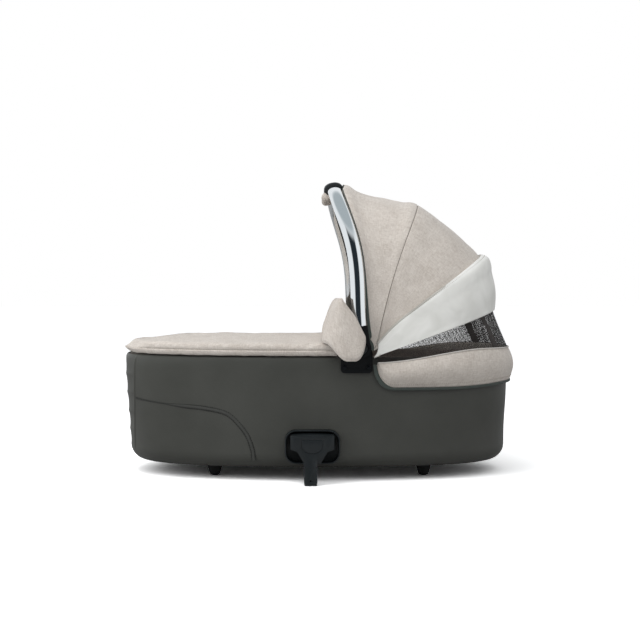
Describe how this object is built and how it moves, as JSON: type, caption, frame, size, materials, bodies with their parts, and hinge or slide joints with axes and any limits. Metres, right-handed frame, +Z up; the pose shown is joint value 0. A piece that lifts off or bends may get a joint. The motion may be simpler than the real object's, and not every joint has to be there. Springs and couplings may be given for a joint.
{
  "type": "carrycot with folding hood",
  "caption": "Carrycot with dark leatherette tub, beige folding hood with chrome carry handle, rolled-up vent flap, apron with windbreak collar and pushchair adapters",
  "frame": {"origin": "on the floor, under the middle of the overall length and width", "axes": "+X from the foot end to the head end, +Y to the baby's right side (away from the camera of the picture), +Z up"},
  "size_m": [0.8157, 0.5276, 0.6076],
  "materials": {
    "leatherette": "smooth dark grey-olive leatherette, padded, double-stitched seam",
    "rim_aluminium": "round tube hidden inside the rim",
    "base_board": "stiff board under the lining",
    "lining": "off-white plain cotton",
    "mattress_cover": "soft white knit cover",
    "foot_rubber": "matt black rubber",
    "black_plastic": "black moulded plastic with a fine grain",
    "button_plastic": "black moulded plastic, slightly smoother",
    "screw_steel": "zinc-plated steel",
    "bow_steel": "flat spring strip inside a fabric channel",
    "handle_chrome": "polished bright tube",
    "grip_rubber": "black foam-rubber sleeve",
    "woven_fabric": "beige melange weave",
    "vent_net": "dark open net",
    "piping": "dark grey-green piping cord"
  },
  "bodies": {
    "tub": {"tub_shell": "leatherette", "rim_frame": "rim_aluminium", "base_board": "base_board", "inner_lining": "lining", "mattress": "mattress_cover", "rubber_foot_foot_end_left": "foot_rubber", "rubber_foot_foot_end_right": "foot_rubber", "rubber_foot_head_end_left": "foot_rubber", "rubber_foot_head_end_right": "foot_rubber", "adapter_housing_left": "black_plastic", "adapter_housing_right": "black_plastic", "adapter_arm_left": "black_plastic", "adapter_arm_right": "black_plastic", "hinge_plate_left": "black_plastic", "hinge_plate_right": "black_plastic", "hinge_screw_left_1": "screw_steel", "hinge_screw_left_2": "screw_steel", "hinge_screw_right_1": "screw_steel", "hinge_screw_right_2": "screw_steel", "hinge_pin_left": "screw_steel", "hinge_pin_right": "screw_steel", "vent_net": "vent_net", "hood_skirt": "woven_fabric", "skirt_piping": "piping", "apron": "woven_fabric"},
    "rear_bow": {"rear_bow": "bow_steel", "vent_flap": "lining"},
    "middle_bow": {"middle_bow": "bow_steel", "canopy_rear": "woven_fabric"},
    "handle": {"handle_tube": "handle_chrome", "handle_grip": "grip_rubber", "handle_hub_left": "black_plastic", "handle_hub_right": "black_plastic", "canopy_front": "woven_fabric"},
    "collar": {"collar": "woven_fabric"},
    "adapter_button_left": {"adapter_button_left": "button_plastic"},
    "adapter_button_right": {"adapter_button_right": "button_plastic"},
    "hood_button_left": {"hood_button_left": "button_plastic"},
    "hood_button_right": {"hood_button_right": "button_plastic"}
  },
  "joints": [
    {"name": "rear_bow_hinge", "type": "hinge", "parent": "tub", "child": "rear_bow", "pos_m": [0.0838, 0, 0.265], "axis": [0, 1, 0], "range_deg": [0, 24.5], "deforming": ["vent_flap", "vent_net"]},
    {"name": "middle_bow_hinge", "type": "hinge", "parent": "rear_bow", "child": "middle_bow", "pos_m": [0.0838, 0, 0.265], "axis": [0, 1, 0], "range_deg": [0, 27], "deforming": ["canopy_rear"]},
    {"name": "handle_hinge", "type": "hinge", "parent": "middle_bow", "child": "handle", "pos_m": [0.0838, 0, 0.265], "axis": [0, 1, 0], "range_deg": [0, 27.1], "deforming": ["canopy_front"]},
    {"name": "collar_fold", "type": "hinge", "parent": "tub", "child": "collar", "pos_m": [0.003, 0, 0.2893], "axis": [0, -1, 0], "range_deg": [0, 95]},
    {"name": "adapter_button_left_press", "type": "slide", "parent": "tub", "child": "adapter_button_left", "axis": [0, 1, 0], "range_m": [0, 0.0035], "stiffness_N_per_m": 900, "springref_m": -0.001},
    {"name": "hood_button_left_press", "type": "slide", "parent": "handle", "child": "hood_button_left", "axis": [0, 1, 0], "range_m": [0, 0.0025], "stiffness_N_per_m": 900, "springref_m": -0.001},
    {"name": "adapter_button_right_press", "type": "slide", "parent": "tub", "child": "adapter_button_right", "axis": [0, -1, 0], "range_m": [0, 0.0035], "stiffness_N_per_m": 900, "springref_m": -0.001},
    {"name": "hood_button_right_press", "type": "slide", "parent": "handle", "child": "hood_button_right", "axis": [0, -1, 0], "range_m": [0, 0.0025], "stiffness_N_per_m": 900, "springref_m": -0.001}
  ],
  "couplings": [
    {"joint": "middle_bow_hinge", "follows": "rear_bow_hinge", "ratio": 1.098},
    {"joint": "handle_hinge", "follows": "rear_bow_hinge", "ratio": 1.102}
  ]
}
